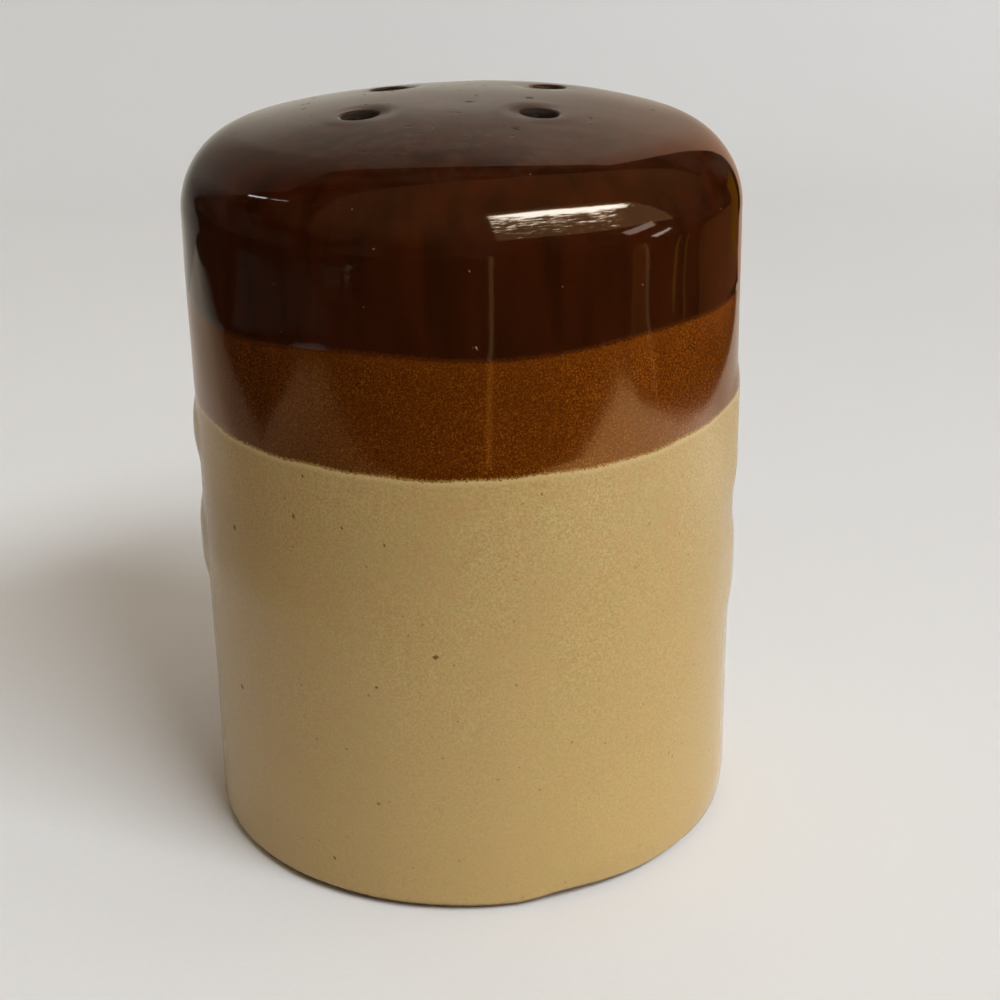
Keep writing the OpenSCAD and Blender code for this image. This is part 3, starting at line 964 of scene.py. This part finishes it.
world = bpy.data.worlds.new("room")
world.use_nodes = True
bpy.context.scene.world = world
ambient = world.node_tree.nodes["Background"]
way = add(world, "SeparateXYZ", [add(world, "TexCoord").outputs["Generated"]])
overhead = add(world, "Math", [way.outputs["Z"], 2.0], operation="POWER")
overhead = add(world, "Math", [overhead, 0.6], operation="MULTIPLY")
feed(world, ambient, ["#ffe4c0", overhead])
pale = add(world, "Background", ["#d6d5d0", 1.0])
ray = add(world, "LightPath").outputs
seen = add(world, "Math", [ray["Is Camera Ray"], ray["Is Glossy Ray"]], operation="MAXIMUM")
seen = add(world, "Math", [seen, ray["Is Transmission Ray"]], operation="MAXIMUM")
mixed = add(world, "MixShader", [seen, ambient, pale])
feed(world, world.node_tree.nodes["World Output"], {"Surface": mixed})
print("lamps:", [data.name for data in bpy.data.lights])

# %% [markdown]
# ## Cards for reflections
# What a mirror-like glaze shows is not the light itself but the shapes around it. Product photographers stand
# white and black cards round a glossy thing for this. These cards glow, and only reflections see them: small
# ones for glints and edges, then the larger shapes one by one.

# %% Small cards
def glow(name, colour, strength):
    """Plain light-giving material and its emission node."""
    material = bpy.data.materials.new(name)
    material.use_nodes = True
    material.node_tree.nodes.clear()
    shine = add(material, "Emission", {"Color": colour, "Strength": strength})
    add(material, "OutputMaterial", {"Surface": shine})
    return material, shine


def reflect_only(card):
    """Leave a stage piece out of everything but reflections."""
    for kind in ["camera", "diffuse", "transmission", "volume_scatter", "shadow"]:
        setattr(card, "visible_" + kind, False)


CARD_DISTANCE = 1.3
ON_TABLE, OVER_CARD = 0.001, 0.002


def patch(*directions):
    """Corners of a card given by their directions from the shoulder, as (azimuth, elevation)."""
    return [toward(azimuth, elevation, CARD_DISTANCE) for azimuth, elevation in directions]


def along(azimuth, distance, points):
    """Points in an upright plane that faces the shaker from an azimuth, given as (sideways, height)."""
    a = math.radians(azimuth)
    middle = Vector((math.sin(a), -math.cos(a), 0)) * distance
    return [middle + Vector((math.cos(a), math.sin(a), 0)) * x + Vector((0, 0, z)) for x, z in points]


def lying(height, *spots):
    """Corners of a level card at a height, given as (x, y)."""
    return [(x, y, height) for x, y in spots]


CARDS = [
    ("left_glint", "#ffffff", 9.0, patch((-107.2, 29.3), (-100, 33.6), (-100, 34.8), (-107.2, 30.4))),
    ("glint_tail", "#ffe8dc", 4.0, patch((-98, 34.8), (-91.7, 38.5), (-91.7, 39.3), (-98, 35.6))),
    ("near_bit", "#ffe0d0", 2.8, patch((65, 11.5), (68.5, 7), (81.5, 9.5), (81, 14.5))),
    ("far_bit", "#ffe8dc", 4.5, patch((78, 1), (80.5, -1), (88, 2.5), (86.5, 4))),
    ("amber_edge", "#bc7c19", 0.38,
     along(180, 0.224, [(-0.172, 0), (-0.172, 0.095), (-0.24, 0.095), (-0.24, 0)])),
    ("door_edge", "#ffd08a", 0.6, along(9.6, 0.3, [(-0.004, 0), (0.004, 0), (0.004, 0.08), (-0.004, 0.08)])),
    ("floor_edge", "#ffd08a", 0.6,
     lying(ON_TABLE, (0.02, -0.175), (0.028, -0.175), (0.054, -0.295), (0.046, -0.296))),
    ("right_edge", "#ffd0a0", 0.5,
     lying(OVER_CARD, (0.2, -0.056), (0.2, -0.05), (0.8, -0.215), (0.8, -0.235))),
    ("right_floor", "#976532", 0.7,
     lying(ON_TABLE, (0.2, -0.09), (0.2, -0.053), (0.8, -0.225), (0.8, -0.295))),
    ("right_leaf", "#b08a40", 0.8, lying(ON_TABLE, (0.27, -0.012), (0.6, 0.01), (0.6, 0.03), (0.28, -0.004))),
    ("right_line", "#b08a40", 0.8, lying(ON_TABLE, (0.25, 0.013), (0.6, 0.077), (0.6, 0.085), (0.25, 0.017))),
    ("right_ground", "#6f4227", 1.0,
     lying(ON_TABLE, (0.245, 0.057), (0.8, 0.25), (0.6, 0.6), (0.142, 0.26), (0.2, 0.13))),
    ("left_ground", "#423d38", 1.0,
     lying(ON_TABLE, (-0.245, 0.055), (-0.36, 0.026), (-0.361, -0.033), (-0.34, -0.048), (-0.33, -0.09),
           (-0.302, -0.151), (-0.262, -0.178), (-0.228, -0.185), (-0.205, -0.165), (-0.24, -0.1),
           (-0.25, -0.02))),
    ("left_arc", "#ffd8b8", 0.5,
     lying(ON_TABLE, (-0.247, -0.25), (-0.24, -0.257), (-0.221, -0.25), (-0.217, -0.228), (-0.224, -0.221),
           (-0.23, -0.241))),
    ("left_bit", "#ffe0c8", 0.3,
     lying(ON_TABLE, (-0.26, -0.188), (-0.228, -0.216), (-0.231, -0.219), (-0.263, -0.191))),
    ("left_fleck", "#ffe0c8", 0.3,
     lying(OVER_CARD, (-0.304, -0.149), (-0.294, -0.164), (-0.298, -0.166), (-0.308, -0.151)))]
for name, colour, strength, corners in CARDS:
    reflect_only(sheet(name, corners, glow(name, colour, strength)[0]))
print("small cards:", [name for name, *rest in CARDS])

# %% [markdown]
# ## Wall, window and room
# The dome mirrors a pale wall close behind the shaker, which is lighter low down and on the right. The
# shoulder mirrors the window, with dark trees against the sky and eaves above. All the rest of the room is
# dark, with some clutter and a warmer ceiling. Each is one sheet or ball whose glow follows its own
# coordinates.

# %% Pale wall behind
WALL_Y = 0.222
WALL_OUTLINE = [(-0.3, 0), (-0.3, 0.04), (-0.24, 0.08), (-0.49, 0.25), (-0.64, 0.42), (-0.99, 1.05),
                (-0.41, 0.7), (-0.16, 0.45), (0, 0.33), (0.17, 0.41), (0.17, 0.2), (0.14, 0.07), (0.14, 0)]
wall, shine = glow("pale_wall", "#fff0e0", 0.5)
coords = add(wall, "TexCoord").outputs["Object"]
place = add(wall, "SeparateXYZ", [coords])
x, z = place.outputs["X"], place.outputs["Z"]
middle = add(wall, "Math", [x, 0.0], operation="MINIMUM")
middle = add(wall, "Math", [middle, -0.6, z], operation="MULTIPLY_ADD")
middle = add(wall, "MapRange", [middle, 0.15, 0.28, 0.52, 0.18])
right = add(wall, "MapRange", [x, 0.0, 0.14, 0.4, 0.66])
left = add(wall, "VectorMath", [coords, (0.555, 0.0, 0.832)], operation="DOT_PRODUCT")
left = add(wall, "MapRange", [left, -0.064, -0.004, 0.07, 0.23])
high = add(wall, "MapRange", [z, 0.3, 0.6, 1.0, 0.5])
left = add(wall, "Math", [left, high], operation="MULTIPLY")
low_left = add(wall, "MapRange", [x, -0.28, -0.1, 0.13, 0.48])
is_low = add(wall, "MapRange", [z, 0.1, 0.05])
left = add(wall, "Mix", {0: is_low, 2: left, 3: low_left})
is_right = add(wall, "MapRange", [x, 0.0, 0.07])
is_left = add(wall, "MapRange", [x, -0.06, -0.16])
level = add(wall, "Mix", {0: is_right, 2: middle, 3: right})
level = add(wall, "Mix", {0: is_left, 2: level, 3: left})
tone = layered(wall, "#fff6e4", [(z, 0.08, 0.35, 1.0, "#ffd9bc"), (x, 0.02, 0.14, 1.0, "#ffc4a0")])
feed(wall, shine, {"Strength": level, "Color": tone})
reflect_only(sheet("pale_wall", [(across, WALL_Y, up) for across, up in WALL_OUTLINE], wall))
print("wall outline has", len(WALL_OUTLINE), "corners")

# %% Window with trees outside
WINDOW_LOW, EAVES, WINDOW_HIGH = 0.5, 1.58, 1.9
WINDOW_LEFT, WINDOW_RIGHT = -0.36, 2.4
WINDOW_AZIMUTH, WINDOW_DISTANCE = 29, 1.2
SKY_STRENGTH = 21.0
window, shine = glow("window_view", "#fff6e4", 1.0)
coords = add(window, "TexCoord").outputs["Object"]
place = add(window, "SeparateXYZ", [coords])
x, z = place.outputs["X"], place.outputs["Z"]
drawn_out = add(window, "VectorMath", [coords, (0.35, 0.35, 1.0)], operation="MULTIPLY")
leaves = add(window, "TexNoise",
             {"Vector": drawn_out, "Scale": per_metre(60), "Detail": 5.0, "Roughness": 0.75})
sky = add(window, "MapRange", [z, WINDOW_LOW, EAVES, -0.12, 0.1])
shade = add(window, "MapRange", [x, 1.45, 2.1, 0.0, -0.4])
curtain = add(window, "MapRange", [x, 0.27, 0.6, 0.3, 0.0])
open_sky = add(window, "Math", [z, curtain], operation="SUBTRACT")
open_sky = add(window, "MapRange", [open_sky, 1.21, 1.39, 0.0, 0.25])
level = leaves
for part in [sky, shade, open_sky]:
    level = add(window, "Math", [level, part], operation="ADD")
bright = add(window, "MapRange", [level, 0.48, 0.64], interpolation_type="SMOOTHSTEP")
under_eaves = add(window, "MapRange", [z, EAVES, EAVES - 0.08])
bright = add(window, "Math", [bright, under_eaves], operation="MULTIPLY")
haze = add(window, "MapRange", [z, WINDOW_HIGH, EAVES, 0.05, 0.75])
level = add(window, "Math", [bright, SKY_STRENGTH, haze], operation="MULTIPLY_ADD")
tone = layered(window, "#ffcf92", [(bright, 0.0, 1.0, 1.0, "#fff8ea")])
feed(window, shine, {"Strength": level, "Color": tone})
window_corners = [(WINDOW_LEFT, WINDOW_LOW), (WINDOW_RIGHT, WINDOW_LOW), (WINDOW_RIGHT, WINDOW_HIGH),
                  (WINDOW_LEFT, WINDOW_HIGH)]
reflect_only(sheet("window", along(WINDOW_AZIMUTH, WINDOW_DISTANCE, window_corners), window))
print("window", WINDOW_HIGH - WINDOW_LOW, "m tall")

# %% Dark room with a lighter ceiling
ROOM_R = 2.6
bpy.ops.mesh.primitive_uv_sphere_add(segments=48, ring_count=24, radius=ROOM_R)
room = bpy.context.object
room.name = "dark_room"
room_paint, shine = glow("dark_room", "#2c1f17", 1.0)
coords = add(room_paint, "TexCoord").outputs["Object"]
place = add(room_paint, "SeparateXYZ", [coords])
front = add(room_paint, "VectorMath", [coords, (0.48, -0.85, 0.2)], operation="DOT_PRODUCT")
front = add(room_paint, "MapRange", [front, -0.05, 0.05])
rise = add(room_paint, "MapRange", [place.outputs["Z"], 0.5, 1.6])
ceiling = add(room_paint, "Math", [front, rise], operation="MULTIPLY")
clutter = add(room_paint, "TexNoise", {"Vector": coords, "Scale": per_metre(700), "Detail": 3.0})
tone = add(room_paint, "ValToRGB", [clutter], [(0.4, "#1c120c"), (0.65, "#57463a")])
tone = layered(room_paint, tone, [(ceiling, 0.0, 1.0, 1.0, "#8a5f3f")])
feed(room_paint, shine, {"Color": tone})
reflect_only(staged(room, room_paint))
print("room radius", ROOM_R, "m")

# %% [markdown]
# ## Paper as the glaze sees it
# Low on the body the glaze mirrors the paper round the foot and the dark ground beyond it. Both are rings of
# cells between the paper's outline and the same outline drawn in or out to one distance from the axis. The
# sun falls on the front right of the paper, and the shaker shades what lies close by and behind.

# %% Dark ground beyond the paper
PAPER_OUTLINE = np.array([(-0.252, 0.222), (-0.268, 0.134), (-0.212, 0.058), (-0.185, 0.01), (-0.176, -0.016),
                          (-0.2, -0.066), (-0.206, -0.096), (-0.186, -0.136), (-0.09, -0.146), (0.1, -0.139),
                          (0.183, -0.109), (0.195, -0.092), (0.19, -0.082), (0.187, -0.025), (0.185, 0.032),
                          (0.168, 0.105), (0.15, 0.19), (0.15, 0.222)])
PAPER_HEIGHT = 0.0004
FAR, NEAR = 2.5, 0.1


def paper_ring(distance=None):
    """The paper's outline in mm, or the same directions at one distance in metres from the axis."""
    reach = np.hypot(*PAPER_OUTLINE.T)[:, None]
    spots = PAPER_OUTLINE * (distance / reach if distance else 1)
    return np.hstack([spots, np.full_like(reach, PAPER_HEIGHT)]) / MM


ground = build("dark_ground", [(np.stack([paper_ring(FAR), paper_ring()]), True, False)])
reflect_only(staged(ground, glow("dark_ground", "#35261b", 0.7)[0]))
print("paper as reflections see it has", len(PAPER_OUTLINE), "corners")

# %% Sunlit paper
sunlit, shine = glow("sunlit_paper", "#ffffff", 1.3)
coords = add(sunlit, "TexCoord").outputs["Object"]
place = add(sunlit, "SeparateXYZ", [coords])
across = add(sunlit, "MapRange", [place.outputs["X"], -0.22, 0.2])
front = add(sunlit, "ValToRGB", [across],
            [(0.05, "#807e7c"), (0.17, "#686664"), (0.5, "#848280"), (0.8, "#f6f4f0")])
back = add(sunlit, "ValToRGB", [across], [(0.05, "#9a9082"), (0.2, "#aaa197"), (1.0, "#b5ada0")])
close = add(sunlit, "ValToRGB", [across], [(0.2, "#827e79"), (0.8, "#c0bcb6")])
inward = add(sunlit, "VectorMath", [coords, (0.871, 0.489, 0.0)], operation="DOT_PRODUCT")
back = layered(sunlit, back, [(inward, -0.108, -0.168, 0.92, "#1c1814")])
behind = add(sunlit, "VectorMath", [coords, (-0.14, 1.0, 0.0)], operation="DOT_PRODUCT")
away = add(sunlit, "VectorMath", [coords], operation="LENGTH")
far = layered(sunlit, front, [(behind, 0.025, 0.075, 1.0, back)])
tone = layered(sunlit, close, [(away, NEAR, 0.15, 1.0, far)])
feed(sunlit, shine, {"Color": tone})
sunlit_paper = build("sunlit_paper", [(np.stack([paper_ring(), paper_ring(NEAR)]), True, False)])
reflect_only(staged(sunlit_paper, sunlit))
print("sunlit paper starts", NEAR, "m from the axis")

# %% [markdown]
# ## Camera
# The camera's place, lens and tilt were found by fitting the body's outline, dip lines and pour holes to the
# photograph. It stands close in front and a little above the shaker, which is why the body narrows downwards.

# %% Camera
CAMERA_PLACE = (0.0, -0.20908, 0.12396)
CAMERA_LENS = 64.21
CAMERA_PITCH, CAMERA_YAW, CAMERA_ROLL = np.radians([22.111, 1.1185, -0.6415])

ahead = Vector((math.sin(CAMERA_YAW) * math.cos(CAMERA_PITCH), math.cos(CAMERA_YAW) * math.cos(CAMERA_PITCH),
                -math.sin(CAMERA_PITCH)))
level_right = Vector((math.cos(CAMERA_YAW), -math.sin(CAMERA_YAW), 0))
level_up = level_right.cross(ahead)
camera_right = level_right * math.cos(CAMERA_ROLL) + level_up * math.sin(CAMERA_ROLL)
camera_up = level_up * math.cos(CAMERA_ROLL) - level_right * math.sin(CAMERA_ROLL)

camera_data = bpy.data.cameras.new("photo_view")
camera_data.sensor_width = 36.0
camera_data.lens = CAMERA_LENS
camera_data.clip_start = 0.01
camera = bpy.data.objects.new("photo_view", camera_data)
turn = Matrix((camera_right, camera_up, -ahead)).transposed().to_4x4()
camera.matrix_world = Matrix.Translation(CAMERA_PLACE) @ turn
bpy.context.scene.collection.objects.link(camera)
bpy.context.scene.camera = camera
bpy.context.scene.view_settings.view_transform = "Standard"
print("camera", CAMERA_PLACE, "lens", CAMERA_LENS)

# %% [markdown]
# ## Size
# The size of the dressed shaker is printed from the boxes of its shown pieces, with the stage left out.
# The dressed shaker has to stay inside the box of its CAD solids.

# %% Size of the dressed shaker
low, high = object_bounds()
print("visual box in mm:", [round(side / MM, 2) for side in high - low])
